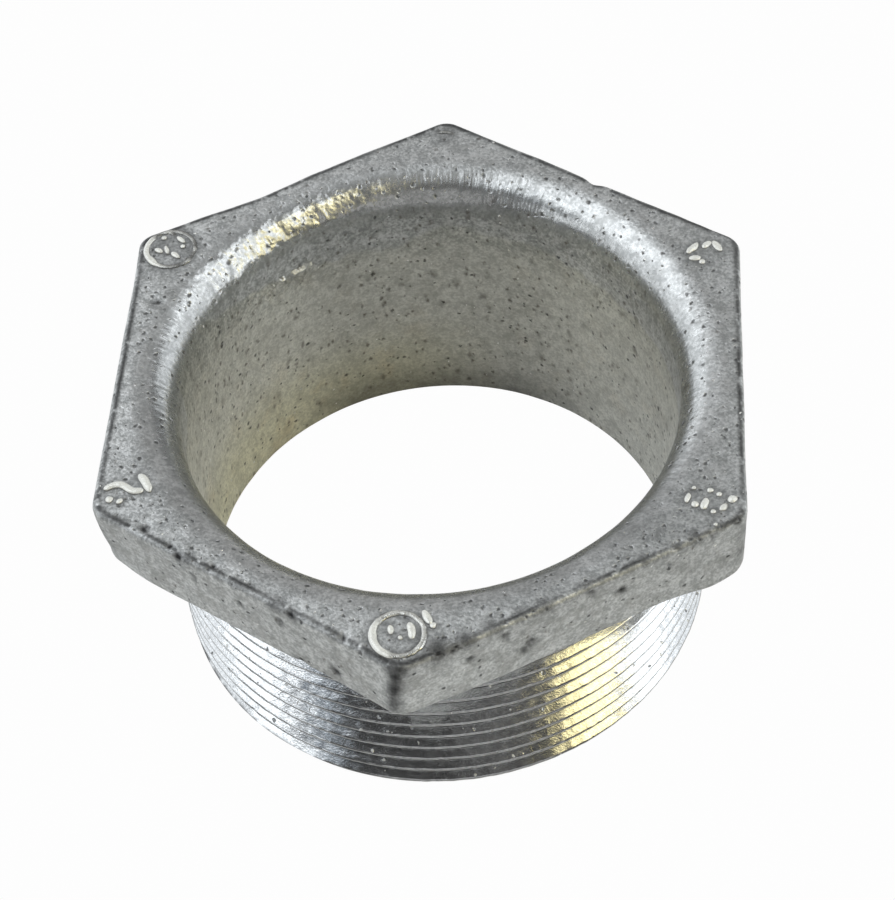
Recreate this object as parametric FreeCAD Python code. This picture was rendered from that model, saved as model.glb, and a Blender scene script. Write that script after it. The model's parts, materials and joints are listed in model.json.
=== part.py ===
import FreeCAD, Part
import math
import os

# Chase nipple for rigid conduit, trade size 2: one malleable iron casting with
# a hexagon head, a bell-mouthed bore and a shank whose outside is the crest of
# the thread. It stands on the thread end, the axis is Z and all sizes are in mm.

# Lengths along the axis
shank_length = 25.4
head_thickness = 8.5

# Bore and throat, which the wires slide through
bore_radius = 26.65
throat_radius = 4.9
bore_end_chamfer = 0.3

# Shank, out to the crest of the thread
shank_wall = 3.35
thread_end_chamfer = 0.4
neck_fillet = 0.4

# Hexagon head: the land is the flat ring left between throat and flats
land_width = 1.7
head_draft_deg = 0.8
corner_radius = 2.5
top_edge_round = 0.7
under_edge_round = 0.5

# Plain raised rings cast on two corners of the head; the setback is measured
# from the sharp corner that the rounded one takes away
ring_radius = 2.7
ring_foot_width = 0.9
ring_crest_width = 0.4
ring_height = 0.3
ring_setback = 4.3
ring_corners_deg = (-90.0, 150.0)

# Form of a hexagon with a corner on -Y
SIDES = 6
FIRST_CORNER_DEG = -90.0

# How far a cutting tool passes the faces that it cuts
cut_margin = 1.0

# Heights and radii closer than this are the same one
same_place = 1e-5

# Sizes that follow from the ones above
overall_length = shank_length + head_thickness
shank_radius = bore_radius + shank_wall
throat_lip_radius = bore_radius + throat_radius
top_apothem = throat_lip_radius + land_width
draft_step = head_thickness * math.tan(math.radians(head_draft_deg))


def axis_point(radius, height, angle_deg=0.0):
    """The point at this distance from the axis, height and angle."""
    angle = math.radians(angle_deg)
    return FreeCAD.Vector(radius * math.cos(angle), radius * math.sin(angle), height)


def corner_reach(apothem):
    """Distance from the axis to the sharp corner of a hexagon."""
    return apothem / math.cos(math.pi / SIDES)


def hexagon_points(apothem, height):
    turns = [FIRST_CORNER_DEG + 360.0 / SIDES * corner for corner in range(SIDES)]
    return [axis_point(corner_reach(apothem), height, turn) for turn in turns]


def polygon_face(points):
    return Part.Face(Part.makePolygon(points + [points[0]]))


def edges_at_height(shape, height):
    """The edges that lie wholly at one height."""
    return [edge for edge in shape.Edges
            if all(abs(corner.Z - height) < same_place for corner in edge.Vertexes)]


def drafted_hexagon():
    """Hexagon whose flats lean in by the draft towards the underside."""
    under = hexagon_points(top_apothem - draft_step, shank_length)
    top = hexagon_points(top_apothem, overall_length)
    flats = [polygon_face([under[side], under[(side + 1) % SIDES],
                           top[(side + 1) % SIDES], top[side]])
             for side in range(SIDES)]
    caps = [polygon_face(under[::-1]), polygon_face(top)]
    return Part.makeSolid(Part.makeShell(caps + flats))


def head():
    """Hexagon head with round corners and softened top and under edges."""
    blank = drafted_hexagon()
    flat_edges = edges_at_height(blank, shank_length) + edges_at_height(blank, overall_length)
    upright = [edge for edge in blank.Edges
               if not any(edge.isSame(flat_edge) for flat_edge in flat_edges)]
    blank = blank.makeFillet(corner_radius, upright)
    blank = blank.makeFillet(top_edge_round, edges_at_height(blank, overall_length))
    return blank.makeFillet(under_edge_round, edges_at_height(blank, shank_length))


def shank():
    """Round shank out to the thread crest, with a chamfer at its open end."""
    outline = Part.makePolygon([
        axis_point(0, 0),
        axis_point(shank_radius - thread_end_chamfer, 0),
        axis_point(shank_radius, thread_end_chamfer),
        axis_point(shank_radius, shank_length),
        axis_point(0, shank_length),
        axis_point(0, 0)])
    return turned(outline)


def turned(outline):
    """Solid of revolution of a closed outline about the axis."""
    return Part.Face(outline).revolve(
        FreeCAD.Vector(0, 0, 0), FreeCAD.Vector(0, 0, 1), 360)


def throat():
    """The space inside: chamfered end, straight bore and round bell mouth."""
    bell_start = overall_length - throat_radius
    diagonal = throat_radius * math.cos(math.radians(45))
    entry = Part.makePolygon([
        axis_point(0, overall_length + cut_margin),
        axis_point(0, -cut_margin),
        axis_point(bore_radius + bore_end_chamfer + cut_margin, -cut_margin),
        axis_point(bore_radius, bore_end_chamfer),
        axis_point(bore_radius, bell_start)])
    bell = Part.Arc(
        axis_point(bore_radius, bell_start),
        axis_point(throat_lip_radius - diagonal, bell_start + diagonal),
        axis_point(throat_lip_radius, overall_length)).toShape()
    exit_way = Part.makePolygon([
        axis_point(throat_lip_radius, overall_length),
        axis_point(throat_lip_radius, overall_length + cut_margin),
        axis_point(0, overall_length + cut_margin)])
    return turned(Part.Wire(entry.Edges + [bell] + exit_way.Edges))


def raised_ring(corner_deg):
    """Raised ring with sloping sides on the top face, inside one corner of the head."""
    inner_foot = ring_radius - ring_foot_width / 2
    outer_foot = ring_radius + ring_foot_width / 2
    inner_crest = ring_radius - ring_crest_width / 2
    outer_crest = ring_radius + ring_crest_width / 2
    sunk = overall_length - ring_height
    outline = Part.makePolygon([
        axis_point(inner_foot, sunk),
        axis_point(outer_foot, sunk),
        axis_point(outer_foot, overall_length),
        axis_point(outer_crest, overall_length + ring_height),
        axis_point(inner_crest, overall_length + ring_height),
        axis_point(inner_foot, overall_length),
        axis_point(inner_foot, sunk)])
    ring = turned(outline)
    ring.translate(axis_point(corner_reach(top_apothem) - ring_setback, 0, corner_deg))
    return ring


def neck_edge(shape):
    """The circle where the shank meets the underside of the head."""
    return [edge for edge in edges_at_height(shape, shank_length)
            if isinstance(edge.Curve, Part.Circle)
            and abs(edge.Curve.Radius - shank_radius) < same_place]


def chase_nipple():
    body = head().fuse(shank())
    body = body.makeFillet(neck_fillet, neck_edge(body))
    body = body.cut(throat())
    body = body.fuse([raised_ring(corner_deg) for corner_deg in ring_corners_deg])
    body = body.removeSplitter()
    return body.Solids[0] if len(body.Solids) == 1 else body


def main():
    os.makedirs("parts", exist_ok=True)
    nipple = chase_nipple()
    print("solids", len(nipple.Solids), "valid", nipple.isValid(),
          "volume", round(nipple.Volume, 1), "box", nipple.optimalBoundingBox())
    nipple.exportStep("parts/chase_nipple.step")


main()
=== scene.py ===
import json
import math

import bmesh
import bpy
from mathutils import Matrix, Vector, noise


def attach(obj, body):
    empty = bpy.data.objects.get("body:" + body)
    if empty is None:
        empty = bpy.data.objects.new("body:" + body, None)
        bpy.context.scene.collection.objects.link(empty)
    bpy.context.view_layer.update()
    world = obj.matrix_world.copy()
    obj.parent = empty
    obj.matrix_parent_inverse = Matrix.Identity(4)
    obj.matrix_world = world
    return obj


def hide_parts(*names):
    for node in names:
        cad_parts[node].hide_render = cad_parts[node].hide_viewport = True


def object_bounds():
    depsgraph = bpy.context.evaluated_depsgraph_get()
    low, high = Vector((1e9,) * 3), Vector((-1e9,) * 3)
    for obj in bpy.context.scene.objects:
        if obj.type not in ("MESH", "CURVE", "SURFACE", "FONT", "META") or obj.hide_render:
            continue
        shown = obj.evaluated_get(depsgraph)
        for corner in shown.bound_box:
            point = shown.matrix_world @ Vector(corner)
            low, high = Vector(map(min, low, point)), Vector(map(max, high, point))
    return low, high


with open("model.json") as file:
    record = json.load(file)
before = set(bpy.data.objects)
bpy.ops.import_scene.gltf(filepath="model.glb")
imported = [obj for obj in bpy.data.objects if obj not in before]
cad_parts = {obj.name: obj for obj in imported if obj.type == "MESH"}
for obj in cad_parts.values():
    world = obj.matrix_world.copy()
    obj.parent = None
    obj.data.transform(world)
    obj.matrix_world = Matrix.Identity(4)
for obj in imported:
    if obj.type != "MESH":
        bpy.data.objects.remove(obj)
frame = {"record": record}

cad_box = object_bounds()

# Sizes in metres; MM turns millimetres into them
MM = 0.001
mounts = {mount["name"]: mount for mount in frame["record"]["mounts"]}
BORE_RADIUS = mounts["bore"]["dims"]["r_mm"] * MM
CREST_RADIUS = mounts["thread"]["dims"]["r_mm"] * MM
SHANK_LENGTH = mounts["bearing_face"]["pos_m"][2]
HEAD_THICKNESS = 8.5 * MM
HEAD_TOP = SHANK_LENGTH + HEAD_THICKNESS
THROAT_RADIUS = 4.9 * MM
LIP_RADIUS = BORE_RADIUS + THROAT_RADIUS
LAND_WIDTH = 1.7 * MM
TOP_APOTHEM = LIP_RADIUS + LAND_WIDTH
HEAD_DRAFT = math.tan(math.radians(0.8))
CORNER_RADIUS = 2.5 * MM
TOP_EDGE_ROUND = 0.7 * MM
UNDER_EDGE_ROUND = 0.5 * MM
NECK_FILLET = 0.4 * MM
BORE_CHAMFER = 0.12 * MM
END_CHAMFER = 0.2 * MM

# Thread: 11.5 turns to the inch, right-hand, 60 degree flanks
PITCH = 25.4 * MM / 11.5
THREAD_DEPTH = 1.8 * MM
FLANK_SLOPE = math.tan(math.radians(30))
GROOVE_HALF_WIDTH = THREAD_DEPTH * FLANK_SLOPE
CREST_ROUND = 0.16 * MM
RUN_OUT = 1.6 * MM
THREAD_TOP = SHANK_LENGTH - NECK_FILLET
CREST_AT_FRONT = 7.0 * MM
THREAD_START = CREST_AT_FRONT / PITCH + 0.25

# Grid of the casting: columns go round the axis, rows follow the section
COLUMNS = 648
ROWS_PER_PITCH = 5


def turn(column):
    """Angle of a column in radians."""
    return 2 * math.pi * column / COLUMNS


def smooth_step(low, high, value):
    share = min(max((value - low) / (high - low), 0.0), 1.0)
    return share * share * (3 - 2 * share)


def mix(first, second, share):
    return first + (second - first) * share


def steps(count):
    """Shares from 0 up to, but not including, 1."""
    return [number / count for number in range(count)]


# Section of the head

def from_flat(angle):
    """Angle from the nearest flat's middle, for a hexagon with a corner on -Y."""
    sixth = math.pi / 3
    return abs((angle + sixth / 2) % sixth - sixth / 2)


def hexagon_radius(angle, apothem, corner):
    """Distance from the axis to a hexagon with rounded corners."""
    lean = from_flat(angle)
    flat_end = (apothem - corner) * math.tan(math.pi / 6)
    if apothem * math.tan(lean) <= flat_end:
        return apothem / math.cos(lean)
    centre = (apothem - corner) / math.cos(math.pi / 6)
    off_corner = math.pi / 6 - lean
    across = centre * math.sin(off_corner)
    return centre * math.cos(off_corner) + math.sqrt(corner * corner - across * across)


def apothem_at(height):
    """Distance from the axis to a flat; the draft leans the flats in towards the underside."""
    return TOP_APOTHEM - (HEAD_TOP - height) * HEAD_DRAFT


def head_radius(angle, inset, height):
    return hexagon_radius(angle, apothem_at(height) - inset, CORNER_RADIUS - inset)


def thread_radius(angle, height):
    """Distance from the axis to the cut thread."""
    place = (height / PITCH - THREAD_START - angle / (2 * math.pi)) % 1.0
    from_crest = min(place, 1.0 - place) * PITCH
    into_groove = from_crest - (PITCH / 2 - GROOVE_HALF_WIDTH)
    depth = min(max(into_groove / FLANK_SLOPE, 0.0), THREAD_DEPTH)
    depth *= smooth_step(THREAD_TOP, THREAD_TOP - RUN_OUT, height)
    end_cone = CREST_RADIUS - max(END_CHAMFER - height, 0.0)
    return min(CREST_RADIUS - depth, end_cone)


class Row:
    """One ring of the section: its shape, how lumpy it is, how dirty and how worn smooth."""

    def __init__(self, shape, lump=0.0, rim=0.0, worn=0.0):
        self.shape = shape
        self.lump = lump
        self.rim = rim
        self.worn = worn


def end_face_rows():
    """Narrow end face, from the thread in to the bore."""
    inner = BORE_RADIUS + BORE_CHAMFER
    rows = []
    for share in steps(3):
        rows.append(Row(lambda angle, share=share: (
            mix(thread_radius(angle, 0.0), inner, share), 0.0), rim=0.3))
    rows.append(Row(lambda angle: (inner, 0.0), rim=0.6))
    return rows


def bore_rows():
    """Straight bore, with rows set close where the core left its ledge."""
    bottom = BORE_CHAMFER
    ledge_zone = 24.4 * MM
    top = HEAD_TOP - THROAT_RADIUS
    heights = [mix(bottom, ledge_zone, share) for share in steps(12)]
    heights += [mix(ledge_zone, top, share) for share in steps(13)]
    return [Row(lambda angle, height=height: (BORE_RADIUS, height), lump=0.05)
            for height in heights]


def bell_rows():
    """Quarter round of the bell mouth, worn smooth between the bore and its lip."""
    rows = []
    for share in steps(12):
        swing = share * math.pi / 2
        radius = LIP_RADIUS - THROAT_RADIUS * math.cos(swing)
        height = HEAD_TOP - THROAT_RADIUS * (1 - math.sin(swing))
        worn = smooth_step(0.0, 0.3, share) * (1 - 0.8 * smooth_step(0.66, 0.95, share))
        rows.append(Row(lambda angle, at=(radius, height): at, lump=0.05, worn=worn))
    return rows


def land_rows():
    """Flat top face, with rows set closer towards its outer edge."""
    def at(angle, share):
        outer = head_radius(angle, TOP_EDGE_ROUND, HEAD_TOP)
        return mix(LIP_RADIUS, outer, share), HEAD_TOP
    shares = [1 - (1 - share) ** 1.5 for share in steps(12)]
    return [Row(lambda angle, share=share: at(angle, share), lump=0.07,
                worn=0.2 * (1 - smooth_step(0.0, 0.3, share)))
            for share in shares]


def edge_rows(height, size, up, count, lump, rim):
    """Quarter round between a flat face and the flanks; up is 1 on top, -1 below.
    Dirt lies where the flat face turns into the round."""
    rows = []
    for number in range(count + 1):
        swing = number / count * math.pi / 2
        if up < 0:
            swing = math.pi / 2 - swing
        dirt_and_shade = rim * math.exp(-((swing - 0.25) / 0.45) ** 2)
        inset = size * (1 - math.sin(swing))
        level = height - up * size * (1 - math.cos(swing))
        rows.append(Row(lambda angle, inset=inset, level=level: (
            head_radius(angle, inset, level), level), lump=lump, rim=dirt_and_shade))
    return rows


def flank_rows():
    top = HEAD_TOP - TOP_EDGE_ROUND
    bottom = SHANK_LENGTH + UNDER_EDGE_ROUND
    return [Row(lambda angle, height=mix(top, bottom, share): (
                head_radius(angle, 0.0, height), height), lump=0.07, rim=0.25 * (1 - share) ** 5)
            for share in steps(10)[1:]]


def underside_rows():
    """Flat underside of the head, from its edge in to the neck."""
    inner = CREST_RADIUS + NECK_FILLET

    def at(angle, share):
        outer = head_radius(angle, UNDER_EDGE_ROUND, SHANK_LENGTH)
        return mix(outer, inner, share), SHANK_LENGTH
    return [Row(lambda angle, share=share: at(angle, share), lump=0.05, rim=0.2)
            for share in steps(6)[1:]]


def neck_rows():
    """Fillet between the underside and the thread."""
    rows = []
    for number in range(4):
        swing = number / 3 * math.pi / 2
        radius = CREST_RADIUS + NECK_FILLET * (1 - math.sin(swing))
        height = SHANK_LENGTH - NECK_FILLET * (1 - math.cos(swing))
        rows.append(Row(lambda angle, at=(radius, height): at, rim=0.8))
    return rows


def cast_section():
    """Rows from the rim of the thread end, through the bore and over the head, to the neck."""
    return (end_face_rows() + bore_rows() + bell_rows() + land_rows()
            + edge_rows(HEAD_TOP, TOP_EDGE_ROUND, 1, 6, 0.08, 0.2)
            + flank_rows()
            + edge_rows(SHANK_LENGTH, UNDER_EDGE_ROUND, -1, 4, 0.07, 0.5)
            + underside_rows() + neck_rows())


# Mesh of the casting

def on_axis(angle, radius, height):
    return Vector((radius * math.cos(angle), radius * math.sin(angle), height))


def thread_levels():
    """Rows of the thread in pitches above the end, at an angle of 0; each climbs one pitch in a
    turn."""
    half_groove = GROOVE_HALF_WIDTH / PITCH
    below_crest = half_groove - CREST_ROUND * FLANK_SLOPE / PITCH
    in_pitch = [0.5 - half_groove, 0.5 - below_crest, 0.5, 0.5 + below_crest, 0.5 + half_groove]
    first = THREAD_START % 1.0 - 3
    turns = math.ceil(THREAD_TOP / PITCH) + 3
    return [first + number + place for number in range(turns + 1) for place in in_pitch]


def thread_points(column):
    """Points of one column, from the end to the neck; rows past either end lie on it."""
    angle = turn(column)
    points = []
    for level in thread_levels():
        height = min(max((level + angle / (2 * math.pi)) * PITCH, 0.0), THREAD_TOP)
        points.append(on_axis(angle, thread_radius(angle, height), height))
    return points


def build_casting():
    """One closed mesh: material 0 on what is cast, 1 on what is cut."""
    shaped = bmesh.new()
    layers = {name: shaped.verts.layers.float.new(name) for name in ("lump", "rim", "worn")}
    section = cast_section()
    cast = []
    cut = []
    for column in range(COLUMNS):
        angle = turn(column)
        ring = []
        for row in section:
            radius, height = row.shape(angle)
            corner = shaped.verts.new(on_axis(angle, radius, height))
            corner[layers["lump"]] = row.lump * MM
            corner[layers["rim"]] = row.rim
            corner[layers["worn"]] = row.worn
            ring.append(corner)
        cast.append(ring)
        cut.append([shaped.verts.new(point) for point in thread_points(column)])
    for column in range(COLUMNS):
        here, there = cast[column], cast[(column + 1) % COLUMNS]
        for row in range(len(section) - 1):
            shaped.faces.new((here[row], there[row], there[row + 1], here[row + 1]))
        here, there = cut[column], cut[(column + 1) % COLUMNS]
        climb = ROWS_PER_PITCH if column == COLUMNS - 1 else 0
        for row in range(len(here) - 1 - climb):
            face = shaped.faces.new((here[row], there[row + climb],
                                     there[row + climb + 1], here[row + 1]))
            face.material_index = 1
    bmesh.ops.remove_doubles(shaped, verts=shaped.verts, dist=0.02 * MM)
    bmesh.ops.dissolve_degenerate(shaped, edges=shaped.edges, dist=0.005 * MM)
    bmesh.ops.recalc_face_normals(shaped, faces=shaped.faces)
    return shaped


# Faults of this casting in mm: place, reach and push; none is felt past FAULT_END reaches

FAULT_END = 2.5

DENTS = {
    "long dip in the rear left edge": ((-20.4, 26.1, 32.5), 5.5, (0.22, -0.40, -0.10)),
    "nick in the rear right edge": ((17.2, 28.2, 33.2), 0.9, (-0.20, -0.36, -0.24)),
    "full rear left corner": ((-32.6, 18.9, 32.0), 3.0, (-0.20, 0.18, 0.0)),
    "front corner drawn left, below": ((0.0, -37.8, 26.5), 5.5, (-0.75, 0.10, 0.0)),
    "front corner drawn left, above": ((0.0, -37.8, 33.5), 4.5, (-0.25, 0.10, 0.0)),
    "blunt left corner, below": ((-32.8, -18.9, 26.0), 3.6, (0.55, 0.32, 0.10)),
    "sag under the right corner": ((30.3, -21.6, 25.4), 3.2, (0.22, -0.36, -0.45)),
}

# Blow holes in mm: place and reach; they are sunk and hold dirt
BLOW_HOLES = [
    ((-11.4, -31.7, 33.8), 0.75), ((-12.9, -31.0, 31.4), 0.50), ((-11.3, -31.9, 25.8), 0.60),
    ((-7.5, -34.1, 27.5), 0.60), ((-22.1, -25.6, 31.4), 0.40), ((-23.6, -24.7, 33.7), 0.60),
    ((-19.7, -25.8, 33.9), 0.40), ((-27.2, -21.3, 33.9), 0.60), ((-24.5, -23.5, 33.9), 0.45),
    ((-17.2, -28.4, 30.8), 0.40), ((-6.0, -34.3, 33.8), 0.50), ((5.0, -35.4, 33.8), 0.80),
    ((3.6, -35.9, 33.7), 0.60), ((12.0, -31.4, 29.2), 0.70), ((11.2, -31.8, 28.5), 0.60),
    ((9.6, -32.8, 32.2), 0.55), ((6.4, -34.7, 31.0), 0.40), ((17.9, -28.1, 32.9), 0.45),
    ((26.1, -22.8, 33.9), 0.45), ((20.8, -26.3, 31.1), 0.60), ((25.7, -23.5, 31.9), 0.40),
    ((29.9, -21.4, 33.7), 0.55), ((32.4, -19.6, 33.7), 0.55), ((-30.2, 9.6, 33.9), 0.45),
]

# Grimy patches in mm: place, reach and how dark; the streak down the front corner is a painted dark
# reflection
GRIME_AND_SHADE = {
    "wide on the top face": [
        ((13.0, -30.5, 39.0), 7.0, 0.34), ((27.0, -15.0, 34.0), 8.0, 0.16),
        ((24.0, -20.5, 38.0), 6.5, 0.44), ((-26.0, -19.0, 38.0), 7.5, 0.24),
    ],
    "wide on the flats": [
        ((-12.0, -34.0, 28.5), 9.0, 0.09), ((31.5, -21.5, 28.5), 8.0, 0.13),
    ],
    # Painted dark reflection down the front corner
    "down the front corner": [
        ((-0.2, -38.0, 33.4), 1.5, 0.80), ((-0.4, -38.0, 32.4), 0.9, 0.95),
        ((-0.4, -38.0, 31.4), 0.9, 0.95), ((-0.5, -38.0, 30.4), 0.9, 0.95),
        ((-0.6, -38.0, 29.4), 0.9, 0.90), ((-0.6, -38.0, 28.4), 0.9, 0.85),
        ((-0.7, -37.9, 27.4), 0.9, 0.75), ((-0.8, -37.9, 26.4), 1.0, 0.60),
    ],
    "down the side corners": [
        ((-32.8, -18.9, 31.0), 1.4, 0.45), ((-32.8, -18.9, 28.5), 1.4, 0.45),
        ((32.8, -18.9, 31.0), 1.4, 0.45), ((32.8, -18.9, 28.5), 1.4, 0.45),
    ],
    "along the front right edge": [
        ((3.3, -35.5, 33.9), 1.6, 0.80), ((5.8, -34.2, 33.9), 1.2, 0.75),
        ((8.3, -32.8, 33.9), 1.0, 0.65), ((11.0, -31.2, 33.9), 0.9, 0.60),
        ((13.4, -29.9, 33.9), 1.2, 0.60), ((17.0, -27.8, 33.9), 0.9, 0.55),
        ((23.0, -24.4, 33.9), 1.1, 0.60), ((28.0, -21.5, 33.9), 1.2, 0.60),
    ],
    "along the front left edge": [
        ((-13.0, -30.3, 33.9), 1.1, 0.60), ((-22.5, -24.8, 33.9), 0.9, 0.55),
    ],
}


def weather(shaped):
    """Push the grid about by the lumps, dents and blow holes of the casting."""
    layers = shaped.verts.layers.float
    lump, rim = layers["lump"], layers["rim"]
    soot, crackle, stain = (layers.new(name) for name in ("soot", "crackle", "stain"))
    low, high = (Vector(corner) for corner in cad_box)
    shaped.normal_update()
    moved = []
    for corner in shaped.verts:
        place = corner.co.copy()
        shift = Vector()
        if corner[lump] > 0.0:
            shift = casting_shift(corner, place, corner[lump])
            hole = blow_hole(place)
            corner[soot] = max(hole, grime_and_shade(place))
            corner[crackle] = crackled_part(place)
            corner[stain] = stained_part(place)
            shift -= corner.normal * hole * 0.25 * MM
        elif 0.3 * MM < place.z < THREAD_TOP:
            shift = -thread_wear(place)
        # Dirt and painted shade along the top edge
        corner[rim] = max(corner[rim], edge_dirt_and_shade(place))
        place += shift
        for axis in range(2):
            place[axis] = min(max(place[axis], low[axis]), high[axis])
        moved.append(place)
    for corner, place in zip(shaped.verts, moved):
        corner.co = place


def outward(place):
    """Level vector from the axis to a place."""
    return Vector((place.x, place.y, 0.0))


def in_bore(place):
    return outward(place).length < BORE_RADIUS + 0.5 * MM


def degrees_round(place):
    return math.degrees(math.atan2(place.y, place.x))


def felt(place, centre, reach):
    """1 at the middle of a fault, 0.37 at its reach, 0 from FAULT_END reaches on."""
    gap = (place - Vector(centre) * MM).length / (reach * MM)
    return math.exp(-gap * gap) if gap < FAULT_END else 0.0


def casting_shift(corner, place, size):
    """Lumps along the normal, dents, and the ledge that the core left in the bore."""
    broad = noise.noise(place / (7.0 * MM))
    near = noise.noise(place / (2.2 * MM) + Vector((9.0, 4.0, 1.0)))
    shift = -corner.normal * size * (0.4 + 0.9 * broad + 0.5 * near)
    for centre, reach, push in DENTS.values():
        shift += Vector(push) * MM * felt(place, centre, reach)
    return shift + core_ledge(place)


def blow_hole(place):
    """How deep in a blow hole a place lies; the holes have ragged rims."""
    depth = max(felt(place, centre, reach) for centre, reach in BLOW_HOLES)
    if depth > 0.0:
        depth *= 1.0 + 0.8 * noise.noise(place / (0.5 * MM))
    return min(depth, 1.0)


def grime_and_shade(place):
    """How dark a place is from grimy patches, painted shade in the rear of the bore and painted
    shade round the marks.
    """
    darkest = max(dark * felt(place, centre, reach)
                  for patches in GRIME_AND_SHADE.values() for centre, reach, dark in patches)
    # Painted shade in the rear of the bore
    if in_bore(place):
        darkest = max(darkest, painted_bore_shade(place))
    # Painted shade round the raised marks
    return max(darkest, 0.55 * near_marks(place))


def painted_bore_shade(place):
    """Painted shade round the rear of the bore, darkest at its lower end."""
    angle = degrees_round(place)
    rear = smooth_step(45.0, 75.0, angle) * smooth_step(140.0, 115.0, angle)
    return rear * mix(0.22, 0.48, smooth_step(6.0 * MM, 0.5 * MM, place.z))


def near_marks(place):
    """1 close round the raised marks, which all lie out on the top face, where it paints shade."""
    nearest_mark = 31.5 * MM
    if place.z < HEAD_TOP - 0.5 * MM or math.hypot(place.x, place.y) < nearest_mark:
        return 0.0
    x, y = place.x / MM, place.y / MM
    gaps = [abs(math.hypot(x - centre[0], y - centre[1]) - radius)
            for centre, radius, _ in RINGS.values()]
    for strokes in STROKES.values():
        for width, *points in strokes:
            gaps += [math.hypot(x - point[0], y - point[1]) for point in points]
    return math.exp(-(min(gaps) / 0.85) ** 2)


def edge_dirt_and_shade(place):
    """1 in the line of dirt and painted shade along the edge of the top face, at the foot of its
    round;
    the line is wider at the corners, and on the right it lies on the round as painted shade."""
    if place.z < HEAD_TOP - 0.3 * MM:
        return 0.0
    angle = math.atan2(place.y, place.x)
    inset = head_radius(angle, 0.0, HEAD_TOP) - math.hypot(place.x, place.y)
    near_corner = smooth_step(0.36, 0.48, from_flat(angle))
    width = mix(0.34, 0.50, near_corner) * MM
    right_side = smooth_step(24.0 * MM, 31.0 * MM, place.x)
    middle = mix(0.68, 0.50, right_side) * MM
    return math.exp(-((inset - middle) / width) ** 2)


def crackled_part(place):
    """1 on the rear left of the bell mouth, where the zinc froze coarse."""
    angle = degrees_round(place)
    return smooth_step(90.0, 116.0, angle) * smooth_step(164.0, 144.0, angle)


def stained_part(place):
    """1 where the bore is stained, up to a ragged line round its rear; the line's level is in mm
    and differs left and right of the rear."""
    if not in_bore(place):
        return 0.0
    angle = degrees_round(place)
    left_level = 25.3 + 0.0017 * (angle - 104.0) ** 2
    right_level = 25.1 + 0.075 * max(angle - 48.0, 0.0)
    level = mix(right_level, left_level, smooth_step(86.0, 104.0, angle))
    level += 0.8 * noise.noise(place / (2.0 * MM))
    height = place.z / MM
    yellow = smooth_step(15.0, 4.0, height) * smooth_step(72.0, 108.0, angle)
    return smooth_step(level + 0.5, level - 0.3, height) * mix(0.3, 1.0, yellow)


def core_ledge(place):
    """Ragged step in the rear left of the bore, below the bell mouth; it fades out to both sides
    and downwards."""
    foot = 22.0 * MM
    width = 0.38 * MM
    if outward(place).length > BORE_RADIUS + 0.2 * MM or place.z < foot:
        return Vector()
    angle = degrees_round(place)
    level = (27.0 + 0.3 * noise.noise(place / (2.0 * MM))) * MM
    share = smooth_step(114.0, 126.0, angle) * smooth_step(144.0, 136.0, angle)
    step = smooth_step(level + 0.25 * MM, level - 0.10 * MM, place.z)
    step *= smooth_step(foot, level, place.z)
    step *= smooth_step(-0.3, 0.3, noise.noise(place / (0.8 * MM)))
    return -outward(place).normalized() * step * share * width


def thread_wear(place):
    """Ragged crests: how far a point of the thread is worn towards the axis."""
    crest = smooth_step(CREST_RADIUS - 0.5 * MM, CREST_RADIUS, outward(place).length)
    ragged = 0.02 + 0.05 * noise.noise(place / (0.9 * MM))
    nick = smooth_step(0.45, 0.8, noise.noise(place / (1.0 * MM) + Vector((3.0, 8.0, 5.0))))
    return outward(place).normalized() * crest * (ragged + 0.07 * nick) * MM


def ease_edges(shaped):
    """Smooth shading up to a limit; on the cut thread it takes in the rounding of the crests."""
    shaped.normal_update()
    for face in shaped.faces:
        face.smooth = True
    for edge in shaped.edges:
        is_cut = all(face.material_index == 1 for face in edge.link_faces)
        limit = math.radians(72 if is_cut else 38)
        edge.smooth = edge.calc_face_angle(math.pi) < limit


def casting_object():
    """The whole nipple but for its marks, as one piece."""
    shaped = build_casting()
    weather(shaped)
    mesh = bpy.data.meshes.new("nipple_casting")
    ease_edges(shaped)
    shaped.to_mesh(mesh)
    shaped.free()
    piece = bpy.data.objects.new("nipple_casting", mesh)
    bpy.context.scene.collection.objects.link(piece)
    return piece


# Raised marks on the corners of the head: plain rings, strokes and pips, in mm on the top face;
# the marks are rubbed bright, and the rings carry a painted highlight on their front left

MARK_HEIGHT = 0.28 * MM
MARK_SINK = 0.08 * MM
MARK_WAVER = 0.08 * MM
MARK_ROUGHNESS = 0.04 * MM

# Rubbing and painted highlight, in mm on the top face: how near a ring's line a point still lies on
# it, and how far back the rear corner begins, which gets little of either
RING_BAND = 0.6
REAR_CORNER_FROM = 30.0
REAR_CORNER_RUBBED_AND_HIGHLIT = 0.3

# Shares of a stroke's width: its end's radius, and how far the end lies past its last point
STROKE_END_WIDTH = 0.4
STROKE_END_REACH = 0.7

RING_POINTS = 20

# Each ring: centre, radius and width
RINGS = {
    "front corner": ((-0.7, -33.8), 2.58, 0.36),
    "rear left corner": ((-29.6, 17.5), 2.75, 0.30),
}

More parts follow.
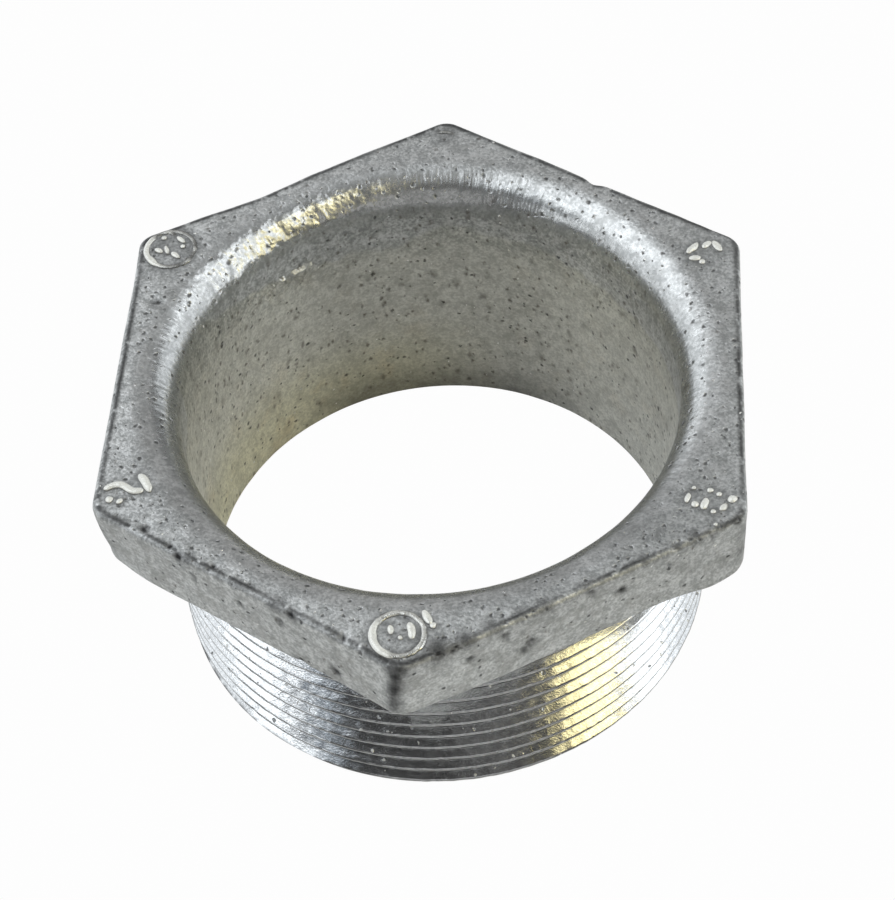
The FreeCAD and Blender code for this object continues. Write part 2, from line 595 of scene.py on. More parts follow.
# Each stroke: width, then its points; one point alone is a pip
STROKES = {
    "front corner": [
        (0.36, (-1.6, -32.9), (-1.4, -33.7)), (0.36, (0.3, -32.6), (0.7, -33.4), (0.6, -34.2)),
        (0.30, (-0.5, -34.2)), (0.46, (1.7, -31.2), (2.2, -32.3)), (0.40, (2.6, -32.7)),
    ],
    "rear left corner": [
        (0.34, (-30.6, 19.2)), (0.34, (-31.2, 17.4), (-30.6, 17.1)),
        (0.30, (-30.2, 17.9), (-29.9, 16.9)), (0.36, (-29.3, 16.9), (-28.7, 16.3)),
        (0.32, (-29.0, 19.3), (-28.3, 18.6)), (0.36, (-30.2, 20.2), (-29.5, 19.8)),
        (0.34, (-31.9, 16.3), (-31.0, 15.3)), (0.30, (-28.3, 17.9)),
    ],
    "rear right corner": [
        (0.44, (27.6, 17.2), (28.5, 18.3)), (0.42, (29.3, 18.0), (29.9, 18.6)),
        (0.46, (30.4, 18.6), (31.0, 17.6)), (0.42, (27.9, 16.2), (28.7, 16.3)),
        (0.40, (29.1, 15.7)),
    ],
    "front left corner": [
        (0.36, (-32.0, -16.3), (-31.2, -15.8), (-30.5, -15.7), (-29.8, -16.1), (-29.1, -16.7),
         (-28.2, -16.5)),
        (0.40, (-28.6, -14.6), (-28.0, -15.2), (-27.4, -16.5)),
        (0.42, (-31.4, -17.7)), (0.38, (-30.4, -18.1), (-30.2, -17.8)),
    ],
    "front right corner": [
        (0.32, (27.9, -15.5)), (0.30, (27.4, -16.3), (27.1, -17.2)), (0.42, (28.0, -17.6)),
        (0.34, (29.5, -15.8)), (0.34, (30.4, -16.3)), (0.42, (29.1, -17.0), (28.8, -18.0)),
        (0.32, (29.8, -18.5)), (0.36, (30.6, -18.2), (31.1, -17.6)), (0.50, (31.7, -16.9)),
        (0.26, (30.0, -20.1)),
    ],
    "rear corner": [
        (0.24, (-0.9, 36.1), (0.1, 36.2), (0.7, 35.9)), (0.22, (-0.1, 34.9)),
    ],
}


def add_stroke(curve, points, width, closed=False):
    """One rounded stroke through points on the top face; its ends are narrow."""
    stroke = curve.splines.new("NURBS")
    stroke.points.add(len(points) - 1)
    last = len(points) - 1
    for number, (point, place) in enumerate(zip(stroke.points, points)):
        at_end = not closed and number in (0, last)
        point.co = (place[0] * MM, place[1] * MM, 0.0, 1.0)
        fullness = mix(0.85, 1.3, rubbed_and_highlit_part(point.co.xyz))
        point.radius = width * (STROKE_END_WIDTH if at_end else fullness)
    stroke.use_cyclic_u = closed
    stroke.order_u = min(4, len(points))
    stroke.use_endpoint_u = not closed
    stroke.resolution_u = 4


def ring_points(centre, radius):
    angles = [2 * math.pi * share for share in steps(RING_POINTS)]
    return [(centre[0] + radius * math.cos(angle), centre[1] + radius * math.sin(angle))
            for angle in angles]


def drawn_on(point, neighbour, width):
    """Narrow end of a stroke: past its last point, in line with the point before."""
    step_x, step_y = point[0] - neighbour[0], point[1] - neighbour[1]
    length = math.hypot(step_x, step_y)
    return (point[0] + step_x / length * width * STROKE_END_REACH,
            point[1] + step_y / length * width * STROKE_END_REACH)


def stroke_points(points, width):
    """Points of a stroke with its two narrow ends; a pip gets a short run between them."""
    if len(points) == 1:
        points = [(points[0][0] - width * 0.3, points[0][1] - width * 0.2),
                  (points[0][0] + width * 0.3, points[0][1] + width * 0.2)]
    return [drawn_on(points[0], points[1], width), *points,
            drawn_on(points[-1], points[-2], width)]


def soft_limit(height, limit):
    """Height that nears the limit without reaching it; depths stay as they are."""
    if height <= 0.0:
        return height
    return height / (1 + (height / limit) ** 4) ** 0.25


def rubbed_and_highlit_part(place):
    """1 where a mark is rubbed bright and painted with a highlight; a ring is so on its front left,
    the rear mark hardly.
    """
    x, y = place.x / MM, place.y / MM
    share = 1.0
    for centre, radius, _ in RINGS.values():
        across, along = x - centre[0], y - centre[1]
        if abs(math.hypot(across, along) - radius) < RING_BAND:
            share = smooth_step(0.25, 0.85, (-0.94 * across - 0.34 * along) / radius)
            share = max(share, 0.4)
    if y > REAR_CORNER_FROM:
        share = REAR_CORNER_RUBBED_AND_HIGHLIT
    patchy = noise.noise(place / (1.1 * MM) + Vector((6.0, 2.0, 9.0)))
    return min(max(share + 0.3 * patchy, 0.0), 1.0)


def corner_marks():
    """The marks as one piece: rounded strokes, flattened, made uneven and sunk at their foot."""
    curve = bpy.data.curves.new("corner_marks_lines", "CURVE")
    curve.dimensions = "3D"
    curve.bevel_depth = MM
    curve.bevel_resolution = 3
    curve.use_fill_caps = True
    for centre, radius, width in RINGS.values():
        add_stroke(curve, ring_points(centre, radius), width, closed=True)
    for strokes in STROKES.values():
        for width, *points in strokes:
            add_stroke(curve, stroke_points(points, width), width)
    lines = bpy.data.objects.new("corner_marks_lines", curve)
    bpy.context.scene.collection.objects.link(lines)
    mesh = bpy.data.meshes.new_from_object(lines)
    bpy.data.objects.remove(lines)
    bpy.data.curves.remove(curve)
    shaped = bmesh.new()
    shaped.from_mesh(mesh)
    bmesh.ops.remove_doubles(shaped, verts=shaped.verts, dist=0.001 * MM)
    rubbed = shaped.verts.layers.float.new("rubbed")
    for corner in shaped.verts:
        corner[rubbed] = rubbed_and_highlit_part(corner.co)
        rough = noise.noise(corner.co / (0.6 * MM))
        broken = 1.0 + 0.35 * noise.noise(corner.co / (1.6 * MM) + Vector((2.0, 7.0, 4.0)))
        raised = mix(0.40, 0.66, corner[rubbed])
        height = corner.co.z * raised * broken + MARK_ROUGHNESS * rough
        corner.co.z = HEAD_TOP - MARK_SINK + soft_limit(height, MARK_HEIGHT + MARK_SINK)
        corner.co.x += MARK_WAVER * rough
        corner.co.y -= MARK_WAVER * rough
    shaped.to_mesh(mesh)
    shaped.free()
    mesh.shade_smooth()
    piece = bpy.data.objects.new("corner_marks", mesh)
    bpy.context.scene.collection.objects.link(piece)
    return piece


# Finishes

class Nodes:
    """Short ways to add and join the nodes of one tree."""

    def __init__(self, tree):
        self.tree = tree

    def add(self, kind, settings=None, **inputs):
        node = self.tree.nodes.new(kind)
        for name, value in (settings or {}).items():
            setattr(node, name, value)
        for name, value in inputs.items():
            self.give(node.inputs[name.replace("_", " ")], value)
        return node

    def give(self, socket, value):
        if isinstance(value, bpy.types.NodeSocket):
            self.tree.links.new(value, socket)
        else:
            socket.default_value = value

    def math(self, operation, *values):
        node = self.add("ShaderNodeMath", {"operation": operation})
        for socket, value in zip(node.inputs, values):
            self.give(socket, value)
        return node.outputs["Value"]

    def times(self, first, second):
        return self.math("MULTIPLY", first, second)

    def larger(self, first, second):
        return self.math("MAXIMUM", first, second)

    def vector(self, operation, *values):
        node = self.add("ShaderNodeVectorMath", {"operation": operation})
        for socket, value in zip(node.inputs, values):
            self.give(socket, value)
        return node.outputs["Vector"]

    def length(self, vector):
        node = self.add("ShaderNodeVectorMath", {"operation": "LENGTH"})
        self.give(node.inputs[0], vector)
        return node.outputs["Value"]

    def scaled(self, vector, factor):
        node = self.add("ShaderNodeVectorMath", {"operation": "SCALE"})
        self.give(node.inputs[0], vector)
        self.give(node.inputs["Scale"], factor)
        return node.outputs["Vector"]

    def ramp(self, value, low, high, to_low=0.0, to_high=1.0):
        """Smooth climb from to_low to to_high as the value goes from low to high."""
        node = self.add("ShaderNodeMapRange", {"interpolation_type": "SMOOTHSTEP"})
        for name, given in (("Value", value), ("From Min", low), ("From Max", high),
                            ("To Min", to_low), ("To Max", to_high)):
            self.give(node.inputs[name], given)
        return node.outputs["Result"]

    def colour_mix(self, share, first, second, blend="MIX"):
        node = self.add("ShaderNodeMix", {"data_type": "RGBA", "blend_type": blend})
        self.give(node.inputs["Factor"], share)
        self.give(node.inputs["A"], first)
        self.give(node.inputs["B"], second)
        return node.outputs["Result"]

    def blend(self, share, first, second):
        node = self.add("ShaderNodeMix", {"data_type": "FLOAT"})
        self.give(node.inputs["Factor"], share)
        self.give(node.inputs["A"], first)
        self.give(node.inputs["B"], second)
        return node.outputs["Result"]

    def noise(self, place, scale, detail=2.0, rough=0.5):
        node = self.add("ShaderNodeTexNoise", Vector=place, Scale=scale, Detail=detail,
                        Roughness=rough)
        return node.outputs["Fac"]


def new_group(name, inputs, outputs):
    """Shader node group with named float or vector sockets."""
    group = bpy.data.node_groups.new(name, "ShaderNodeTree")
    for label, kind, value in inputs:
        socket = group.interface.new_socket(name=label, in_out="INPUT", socket_type=kind)
        if value is not None:
            socket.default_value = value
    for label, kind in outputs:
        group.interface.new_socket(name=label, in_out="OUTPUT", socket_type=kind)
    nodes = Nodes(group)
    return (group, nodes, nodes.add("NodeGroupInput").outputs, nodes.add("NodeGroupOutput").inputs)


NUMBER = "NodeSocketFloat"
PLACE = "NodeSocketVector"

CAST_DARK = (0.39, 0.40, 0.40, 1)
CAST_LIGHT = (0.84, 0.85, 0.85, 1)
CAST_PATCH = (0.34, 0.34, 0.33, 1)
BORE_PAINTED_LIGHT = (0.92, 0.92, 0.91, 1)
BORE_STAIN = (1.0, 0.97, 0.79, 1)
BORE_RUST = (1.0, 0.84, 0.66, 1)
PORE = (0.15, 0.13, 0.11, 1)
# Dark of soot, also used for painted shade
SOOT_AND_SHADE = (0.06, 0.06, 0.062, 1)
GLINT = (0.97, 0.97, 0.95, 1)
THREAD_DARK = (0.66, 0.67, 0.68, 1)
THREAD_LIGHT = (0.95, 0.96, 0.97, 1)
THREAD_DULL_AND_SHADE = (0.34, 0.34, 0.33, 1)
MARK_DARK = (0.66, 0.66, 0.63, 1)
MARK_RUBBED_AND_HIGHLIT = (1.0, 1.0, 0.96, 1)

# Heights of the fine relief
FROZEN_RELIEF = 0.14 * MM
GRAIN_RELIEF = 0.10 * MM
SPECK_RELIEF = 0.07 * MM
TOOL_LINE_RELIEF = 0.007 * MM
CUT_GRAIN_RELIEF = 0.018 * MM
NICK_RELIEF = 0.06 * MM
MARK_RELIEF = 0.09 * MM


def grain_group():
    """Grain of the sand mould: a coarse and a fine lumpiness and their shade."""
    group, nodes, given, out = new_group(
        "sand_mould_grain",
        [("Place", PLACE, None), ("Coarse per metre", NUMBER, 900.0),
         ("Fine per metre", NUMBER, 2900.0), ("Fine share", NUMBER, 0.58)],
        [("Height", NUMBER), ("Shade", NUMBER)])
    coarse = nodes.noise(given["Place"], given["Coarse per metre"], 3.0, 0.55)
    fine = nodes.noise(given["Place"], given["Fine per metre"], 2.0, 0.6)
    lumpy = nodes.blend(given["Fine share"], coarse, fine)
    nodes.give(out["Height"], lumpy)
    nodes.give(out["Shade"], nodes.ramp(lumpy, 0.36, 0.66))
    return group


def speck_group():
    """Small specks, at most one to a cell; which cells hold one, and its size, vary."""
    group, nodes, given, out = new_group(
        "scattered_specks",
        [("Place", PLACE, None), ("Cells per metre", NUMBER, 1000.0), ("Share", NUMBER, 0.5),
         ("Reach", NUMBER, 0.3), ("Edge", NUMBER, 0.5)],
        [("Mask", NUMBER)])
    seat = nodes.scaled(given["Place"], given["Cells per metre"])
    waver = nodes.add("ShaderNodeTexNoise", Vector=seat, Scale=1.9, Detail=2.0)
    off = nodes.vector("SUBTRACT", waver.outputs["Color"], (0.5, 0.5, 0.5))
    wide = nodes.vector("MULTIPLY", off, (0.6, 0.6, 0.6))
    cell = nodes.add("ShaderNodeTexVoronoi", Vector=nodes.vector("ADD", seat, wide), Scale=1.0)
    chance = nodes.add("ShaderNodeSeparateColor", Color=cell.outputs["Color"]).outputs
    reach = nodes.times(given["Reach"], nodes.ramp(chance["Green"], 0.0, 1.0, 0.35, 1.0))
    core = nodes.times(reach, nodes.math("SUBTRACT", 1.0, given["Edge"]))
    held = nodes.math("LESS_THAN", chance["Red"], given["Share"])
    spot = nodes.ramp(cell.outputs["Distance"], reach, core)
    nodes.give(out["Mask"], nodes.times(spot, held))
    return group


def off_the_axis(nodes, place):
    """Level vector from the axis to a place, and the place's height."""
    parts = nodes.add("ShaderNodeSeparateXYZ", Vector=place).outputs
    level = nodes.add("ShaderNodeCombineXYZ", X=parts["X"], Y=parts["Y"])
    return level.outputs["Vector"], parts["Z"]


def radius_and_height(nodes, place):
    """Distance of a place from the axis, and its height."""
    level, height = off_the_axis(nodes, place)
    return nodes.length(level), height


def streak_group():
    """Streaks about the axis: long round it as a cutting tool leaves them, or long up it."""
    group, nodes, given, out = new_group(
        "streaks_about_the_axis",
        [("Place", PLACE, None), ("Up per metre", NUMBER, 5200.0), ("Round the turn", NUMBER, 9.0)],
        [("Height", NUMBER)])
    level, height = off_the_axis(nodes, given["Place"])
    round_way = nodes.scaled(nodes.vector("NORMALIZE", level), given["Round the turn"])
    up = nodes.times(nodes.math("ADD", nodes.length(level), height), given["Up per metre"])
    lift = nodes.add("ShaderNodeCombineXYZ", Z=up).outputs["Vector"]
    seat = nodes.vector("ADD", round_way, lift)
    nodes.give(out["Height"], nodes.noise(seat, 1.0, 2.0, 0.5))
    return group


def use_group(nodes, group, **values):
    node = nodes.add("ShaderNodeGroup")
    node.node_tree = group
    for name, value in values.items():
        nodes.give(node.inputs[name.replace("_", " ")], value)
    return node.outputs


def new_material(name):
    material = bpy.data.materials.new(name)
    material.use_nodes = True
    nodes = Nodes(material.node_tree)
    shader = material.node_tree.nodes["Principled BSDF"]
    place = nodes.add("ShaderNodeTexCoord").outputs["Object"]
    return material, nodes, shader, place


def bump(nodes, height, distance, under=None):
    node = nodes.add("ShaderNodeBump", Height=height, Distance=distance)
    if under is not None:
        nodes.give(node.inputs["Normal"], under)
    return node.outputs["Normal"]


def spread(nodes, name):
    """A value that the mesh holds at its corners, spread over the surface."""
    return nodes.add("ShaderNodeAttribute", {"attribute_name": name}).outputs["Fac"]


def flank_part(nodes, radius, height):
    """1 on the flats and underside of the head, 0 on its top and inside."""
    outside = nodes.ramp(radius, CREST_RADIUS + 0.2 * MM, CREST_RADIUS + 0.6 * MM)
    below_top = nodes.ramp(height, HEAD_TOP - 0.1 * MM, HEAD_TOP - 0.8 * MM)
    return nodes.times(outside, below_top)


def cast_zinc(groups):
    """Zinc over as-cast iron: mottled grey, grainy and specked, smoother in the bell mouth."""
    material, nodes, shader, place = new_material("cast_zinc")
    grain = use_group(nodes, groups["grain"], Place=place)
    worn, crackle, stain = (spread(nodes, name) for name in ("worn", "crackle", "stain"))
    radius, height = radius_and_height(nodes, place)
    flats = flank_part(nodes, radius, height)
    inside = nodes.ramp(radius, BORE_RADIUS + 1.6 * MM, BORE_RADIUS + 0.4 * MM)
    calm = nodes.larger(nodes.times(inside, 0.05), nodes.times(flats, 0.25))
    calm = nodes.larger(calm, nodes.times(worn, 0.4))
    shade = nodes.blend(calm, grain["Shade"], 0.5)
    grey = nodes.colour_mix(shade, CAST_DARK, CAST_LIGHT)
    # Painted light: the lower bore is made lighter
    lower = nodes.ramp(height, HEAD_TOP - 5.0 * MM, HEAD_TOP - 12.0 * MM)
    painted_light_in_low_bore = nodes.times(inside, lower)
    grey = nodes.colour_mix(nodes.times(painted_light_in_low_bore, 0.45), grey, BORE_PAINTED_LIGHT)
    patch = nodes.ramp(nodes.noise(place, 360.0, 4.0, 0.7), 0.48, 0.62)
    patch = nodes.times(patch, nodes.ramp(flats, 0.0, 1.0, 0.25, 0.45))
    grey = nodes.colour_mix(patch, grey, CAST_PATCH)
    grey = nodes.colour_mix(stain, grey, BORE_STAIN, "MULTIPLY")
    rust = nodes.ramp(nodes.noise(place, 210.0, 3.0, 0.65), 0.5, 0.72)
    rust = nodes.times(stain, rust)
    grey = nodes.colour_mix(nodes.times(rust, 0.3), grey, BORE_RUST, "MULTIPLY")

    plain = nodes.math("SUBTRACT", 1.0, nodes.larger(inside, flats))
    share = nodes.times(nodes.ramp(worn, 0.0, 1.0, 0.95, 0.55),
                        nodes.ramp(plain, 0.0, 1.0, 0.25, 1.0))
    specks = use_group(nodes, groups["specks"], Place=place, Cells_per_metre=1150.0,
                       Share=share, Reach=0.42, Edge=0.75)
    upright = nodes.vector("MULTIPLY", place, (1.0, 1.0, 0.7))
    pores = use_group(nodes, groups["specks"], Place=upright, Cells_per_metre=1050.0,
                      Share=nodes.ramp(inside, 0.0, 1.0, 0.12, 0.9), Reach=0.40, Edge=1.0)
    pits = use_group(nodes, groups["specks"], Place=upright, Cells_per_metre=520.0,
                     Share=nodes.times(inside, 0.6), Reach=0.36, Edge=1.0)
    pores = nodes.larger(nodes.times(pores["Mask"], 0.8), nodes.times(pits["Mask"], 0.65))
    glints = use_group(nodes, groups["specks"], Place=place, Cells_per_metre=1100.0, Share=0.18,
                       Reach=0.21, Edge=0.4)
    # Dirt along the rims, with painted shade where it lies on the round of the top edge
    dash = nodes.ramp(nodes.noise(place, 620.0, 2.0, 0.6), 0.30, 0.48)
    dash = nodes.times(dash, nodes.ramp(
        nodes.noise(place, 170.0, 2.0, 0.5), 0.38, 0.58, 0.75, 1.0))
    dirt_and_shade = nodes.times(spread(nodes, "rim"), dash)
    dark = nodes.larger(nodes.times(dirt_and_shade, 0.92), nodes.times(specks["Mask"], 0.82))
    # Dirt of blow holes and grimy patches, with painted shade in the bore and round the marks and a
    # painted dark reflection down the front corner
    dark = nodes.larger(dark, nodes.times(spread(nodes, "soot"), 1.1))
    dark = nodes.math("MINIMUM", dark, 1.0)
    grey = nodes.colour_mix(pores, grey, PORE)
    grey = nodes.colour_mix(dark, grey, SOOT_AND_SHADE)
    grey = nodes.colour_mix(glints["Mask"], grey, GLINT)
    nodes.give(shader.inputs["Base Color"], grey)
    shader.inputs["Metallic"].default_value = 0.92

    dull = nodes.ramp(shade, 0.0, 1.0, 0.46, 0.38)
    dull = nodes.math("SUBTRACT", dull, nodes.times(worn, 0.15))
    dull = nodes.math("ADD", dull, nodes.times(dark, 0.3))
    dull = nodes.math("SUBTRACT", dull, nodes.times(glints["Mask"], 0.2))
    nodes.give(shader.inputs["Roughness"], dull)

    flakes = nodes.times(nodes.noise(place, 560.0, 2.0, 0.5),
                         nodes.ramp(crackle, 0.0, 1.0, 0.1, 2.3))
    streaks = use_group(nodes, groups["streaks"], Place=place, Up_per_metre=240.0,
                        Round_the_turn=44.0)
    streaks = nodes.times(streaks["Height"], nodes.ramp(crackle, 0.0, 1.0, 0.5, 0.2))
    frozen = nodes.math("ADD", flakes, streaks)
    relief = bump(nodes, nodes.times(frozen, worn), FROZEN_RELIEF)
    lumps = nodes.times(grain["Height"], nodes.ramp(worn, 0.0, 1.0, 1.0, 0.22))
    lumps = nodes.times(lumps, nodes.ramp(calm, 0.0, 0.6, 1.0, 0.6))
    relief = bump(nodes, lumps, GRAIN_RELIEF, under=relief)
    raised = nodes.math("SUBTRACT", glints["Mask"], nodes.larger(specks["Mask"], pores))
    nodes.give(shader.inputs["Normal"], bump(nodes, raised, SPECK_RELIEF, under=relief))
    return material


def cut_thread(groups):
    """Bright zinc over cut iron, with tool lines and nicks, and painted shade that lies darkest on
    the upper flanks, partway down the grooves, and darkens them deep down."""
    material, nodes, shader, place = new_material("cut_thread")
    lines = use_group(nodes, groups["streaks"], Place=place, Round_the_turn=24.0)
    nicks = use_group(nodes, groups["specks"], Place=place, Cells_per_metre=800.0, Share=0.25,
                      Reach=0.22, Edge=0.6)
    burrs = use_group(nodes, groups["specks"], Place=place, Cells_per_metre=1000.0, Share=0.24,
                      Reach=0.21, Edge=0.4)
    grain = use_group(nodes, groups["grain"], Place=place, Coarse_per_metre=1800.0,
                      Fine_per_metre=5200.0)
    radius, height = radius_and_height(nodes, place)
    # Painted shade in the grooves: darker deep down, darkest partway down on the upper flanks
    deep = nodes.ramp(radius, CREST_RADIUS - 0.62 * MM, CREST_RADIUS - 0.95 * MM)
    groove_shade = nodes.ramp(radius, CREST_RADIUS - 0.86 * MM, CREST_RADIUS - 0.96 * MM)
    groove_shade = nodes.times(groove_shade, nodes.ramp(
        radius, CREST_RADIUS - 1.10 * MM, CREST_RADIUS - 1.30 * MM, 1.0, 0.55))
    facing = nodes.add("ShaderNodeNewGeometry").outputs["Normal"]
    facing_up = nodes.add("ShaderNodeSeparateXYZ", Vector=facing).outputs["Z"]
    up_facing_weight = nodes.ramp(facing_up, -0.3, 0.3, 0.45, 0.88)
    crest = nodes.ramp(radius, CREST_RADIUS - 0.11 * MM, CREST_RADIUS - 0.05 * MM)
    patchy = nodes.ramp(nodes.noise(place, 900.0, 2.0, 0.6), 0.4, 0.6, 0.05, 0.45)
    end = nodes.times(nodes.ramp(height, 0.42 * MM, 0.12 * MM),
                      nodes.ramp(nodes.noise(place, 700.0, 2.0, 0.6), 0.36, 0.56))
    silver = nodes.colour_mix(grain["Shade"], THREAD_DARK, THREAD_LIGHT)
    # The deep part is painted shade; the crests are dull in patches
    dull_and_shaded_part = nodes.larger(nodes.times(deep, 0.25), nodes.times(crest, patchy))
    silver = nodes.colour_mix(dull_and_shaded_part, silver, THREAD_DULL_AND_SHADE)
    dirt_and_shade = nodes.times(groove_shade, up_facing_weight)
    for mask, darkness in ((nicks["Mask"], 0.7), (end, 0.85), (spread(nodes, "rim"), 0.7)):
        dirt_and_shade = nodes.larger(dirt_and_shade, nodes.times(mask, darkness))
    silver = nodes.colour_mix(dirt_and_shade, silver, SOOT_AND_SHADE)
    silver = nodes.colour_mix(burrs["Mask"], silver, GLINT)
    nodes.give(shader.inputs["Base Color"], silver)
    shader.inputs["Metallic"].default_value = 0.97
    dull = nodes.ramp(lines["Height"], 0.3, 0.7, 0.18, 0.11)
    dull = nodes.math("ADD", dull, nodes.times(dirt_and_shade, 0.3))
    dull = nodes.math("ADD", dull, nodes.times(burrs["Mask"], 0.4))
    nodes.give(shader.inputs["Roughness"], dull)
    relief = bump(nodes, lines["Height"], TOOL_LINE_RELIEF)
    relief = bump(nodes, grain["Height"], CUT_GRAIN_RELIEF, under=relief)
    raised = nodes.math("SUBTRACT", burrs["Mask"], nicks["Mask"])
    nodes.give(shader.inputs["Normal"], bump(nodes, raised, NICK_RELIEF, under=relief))
    return material


def rubbed_zinc(groups):
    """Zinc on the raised marks, dull or rubbed bright with a painted highlight, and with painted
    shade at their foot.
    """
    material, nodes, shader, place = new_material("rubbed_zinc")
    grain = use_group(nodes, groups["grain"], Place=place)
    rubbed = spread(nodes, "rubbed")
    height = nodes.add("ShaderNodeSeparateXYZ", Vector=place).outputs["Z"]
    # Painted shade at the foot of the marks
    foot = nodes.ramp(height, HEAD_TOP + 0.10 * MM, HEAD_TOP + 0.01 * MM)
    # Painted highlight: white and less metallic where the mark is rubbed and highlit
    bright = nodes.times(rubbed, nodes.ramp(grain["Shade"], 0.0, 1.0, 0.8, 1.0))
    silver = nodes.colour_mix(bright, MARK_DARK, MARK_RUBBED_AND_HIGHLIT)
    silver = nodes.colour_mix(nodes.times(foot, 0.8), silver, SOOT_AND_SHADE)
    nodes.give(shader.inputs["Base Color"], silver)
    nodes.give(shader.inputs["Metallic"], nodes.ramp(rubbed, 0.0, 1.0, 0.9, 0.2))
    nodes.give(shader.inputs["Roughness"], nodes.ramp(grain["Shade"], 0.0, 1.0, 0.32, 0.2))
    nodes.give(shader.inputs["Normal"], bump(nodes, grain["Height"], MARK_RELIEF))
    return material


# Studio

VIEW_AZIMUTH = math.radians(7.09)
VIEW_ELEVATION = math.radians(50.85)
VIEW_ROLL = math.radians(-5.05)
VIEW_POINT = Vector((21.95, -164.89, 224.55)) * MM
FOCAL_LENGTH = 95.9


def photo_camera():
    """Camera at the photograph's angle; the roll turns the picture clockwise."""
    back = Vector((math.sin(VIEW_AZIMUTH) * math.cos(VIEW_ELEVATION),
                   -math.cos(VIEW_AZIMUTH) * math.cos(VIEW_ELEVATION),
                   math.sin(VIEW_ELEVATION)))
    right = Vector((math.cos(VIEW_AZIMUTH), math.sin(VIEW_AZIMUTH), 0.0))
    up = back.cross(right)
    rolled_right = right * math.cos(VIEW_ROLL) + up * math.sin(VIEW_ROLL)
    rolled_up = up * math.cos(VIEW_ROLL) - right * math.sin(VIEW_ROLL)
    data = bpy.data.cameras.new("photo_camera")
    data.lens = FOCAL_LENGTH
    data.sensor_width = 36.0
    data.clip_start = 0.01
    camera = bpy.data.objects.new("photo_camera", data)
    camera.matrix_world = Matrix.Translation(VIEW_POINT) @ Matrix(
        (rolled_right, rolled_up, back)).transposed().to_4x4()
    bpy.context.scene.collection.objects.link(camera)
    bpy.context.scene.camera = camera


def seen_direction(round_deg, up_deg):
    """Direction from the nipple: degrees round from the camera's side to its right, and up."""
    turned, raised = math.radians(round_deg), math.radians(up_deg)
    seen = Vector((math.sin(turned) * math.cos(raised), -math.cos(turned) * math.cos(raised),
                   math.sin(raised)))
    return Matrix.Rotation(VIEW_AZIMUTH, 3, "Z") @ seen


SOFTBOX_DISTANCE = 0.6


def softbox(name, middle_deg, span_deg, brightness, colour):
    """Softbox that faces the nipple; its middle is given in degrees round and up, its span in
    degrees wide and high as the nipple sees it, its brightness as a mirror would show it."""
    data = bpy.data.lights.new(name, "AREA")
    data.shape = "RECTANGLE"
    data.size = 2 * SOFTBOX_DISTANCE * math.tan(math.radians(span_deg[0] / 2))
    data.size_y = 2 * SOFTBOX_DISTANCE * math.tan(math.radians(span_deg[1] / 2))
    data.energy = brightness * math.pi * data.size * data.size_y
    data.color = colour
    light = bpy.data.objects.new(name, data)
    aim = seen_direction(*middle_deg)
    light.location = aim * SOFTBOX_DISTANCE + Vector((0.0, 0.0, HEAD_TOP / 2))
    light.rotation_euler = aim.to_track_quat("Z", "Y").to_euler()
    bpy.context.scene.collection.objects.link(light)


COOL = (0.93, 0.97, 1.0)
PLAIN = (1.0, 1.0, 1.0)
YELLOW = (1.0, 0.88, 0.46)
BLUE = (0.76, 0.88, 1.0)

# Each softbox: middle (round from the camera's side, up), span, brightness, colour
SOFTBOXES = {
    "left_high": ((-109.5, 58), (51, 44), 1.6, COOL),
    "left_edge": ((-60, 58), (6, 40), 0.4, BLUE),
    "left_low": ((-118, 17), (72, 38), 1.05, COOL),
    "left_front_low": ((-62.5, 26), (22, 20), 1.25, COOL),
    "right_high": ((97.5, 54), (38.5, 36), 1.6, COOL),
    "right_low": ((105.5, 17), (55, 38), 0.95, COOL),
    "yellow_card": ((56, 45), (13, 54), 2.0, YELLOW),
    "right_front_low": ((71, 19), (15, 40), 1.6, COOL),
    "rear_card": ((180, 48), (56, 28), 0.285, PLAIN),
    "rear_low": ((180, 18), (56, 34), 0.42, PLAIN),
    "front_card": ((0, 30), (58, 40), 0.35, PLAIN),
    "front_high": ((18, 67), (20, 20), 0.09, PLAIN),
    "overhead": ((-40, 84), (30, 22), 0.12, PLAIN),
}


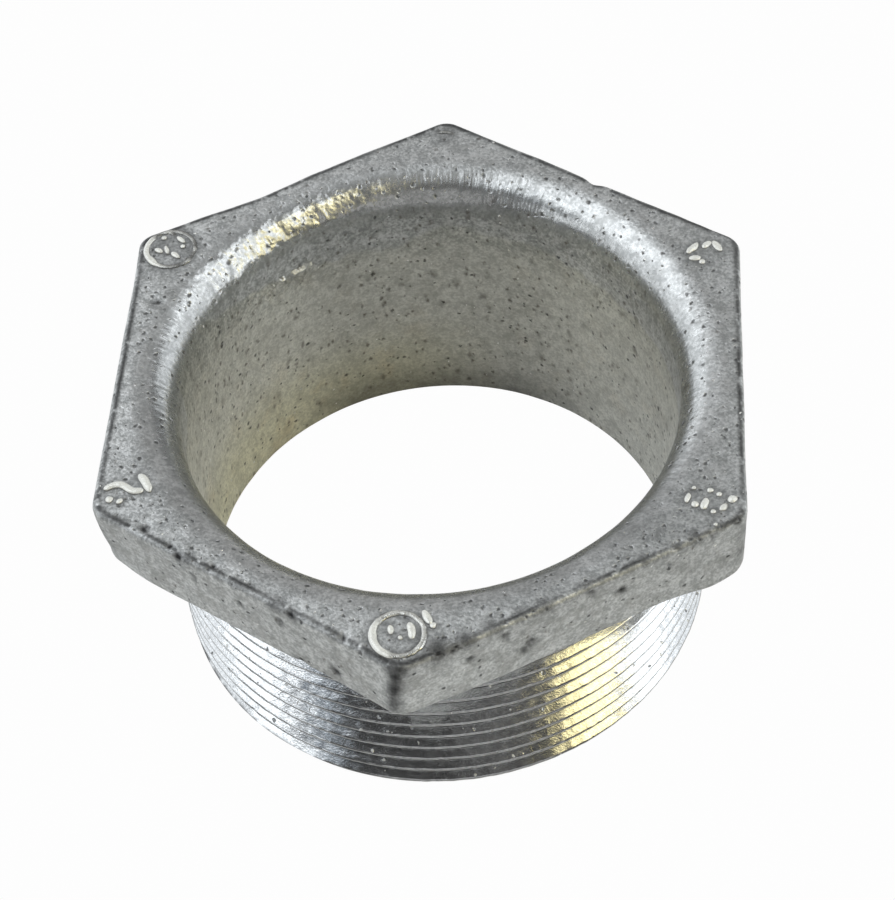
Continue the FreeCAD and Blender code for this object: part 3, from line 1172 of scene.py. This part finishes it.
def white_paper():
    """Lit paper of the floor: plain white to the camera, shaded in what the nipple mirrors."""
    material = bpy.data.materials.new("white_paper")
    material.use_nodes = True
    nodes = Nodes(material.node_tree)
    paper = material.node_tree.nodes["Principled BSDF"]
    paper.inputs["Base Color"].default_value = (0.83, 0.83, 0.83, 1)
    paper.inputs["Roughness"].default_value = 0.9
    paper.inputs["Specular IOR Level"].default_value = 0.2
    paper.inputs["Emission Color"].default_value = (1.0, 1.0, 1.0, 1)
    paper.inputs["Emission Strength"].default_value = 0.06
    plain = nodes.add("ShaderNodeEmission", Color=(1.0, 1.0, 1.0, 1), Strength=0.985)
    seen = nodes.add("ShaderNodeLightPath").outputs["Is Camera Ray"]
    either = nodes.add("ShaderNodeMixShader")
    nodes.give(either.inputs[0], seen)
    nodes.tree.links.new(paper.outputs["BSDF"], either.inputs[1])
    nodes.tree.links.new(plain.outputs["Emission"], either.inputs[2])
    nodes.give(nodes.tree.nodes["Material Output"].inputs["Surface"], either.outputs["Shader"])
    return material


def studio():
    """Softboxes, dim air and a wide sheet of paper for the nipple to stand on."""
    for name, settings in SOFTBOXES.items():
        softbox(name, *settings)
    world = bpy.data.worlds.new("studio_air")
    world.use_nodes = True
    world.node_tree.nodes["Background"].inputs["Color"].default_value = (0.04, 0.04, 0.04, 1)
    bpy.context.scene.world = world
    bpy.context.scene.view_settings.view_transform = "Standard"
    floor_mesh = bpy.data.meshes.new("floor")
    reach = 1.5
    floor_mesh.from_pydata([(-reach, -reach, 0), (reach, -reach, 0), (reach, reach, 0),
                            (-reach, reach, 0)], [], [(0, 1, 2, 3)])
    floor_mesh.materials.append(white_paper())
    floor = bpy.data.objects.new("floor", floor_mesh)
    bpy.context.scene.collection.objects.link(floor)


def main():
    photo_camera()
    studio()
    groups = {"grain": grain_group(), "specks": speck_group(), "streaks": streak_group()}
    casting = casting_object()
    casting.data.materials.append(cast_zinc(groups))
    casting.data.materials.append(cut_thread(groups))
    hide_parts("chase_nipple")
    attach(casting, "root")
    marks = corner_marks()
    marks.data.materials.append(rubbed_zinc(groups))
    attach(marks, "root")


main()
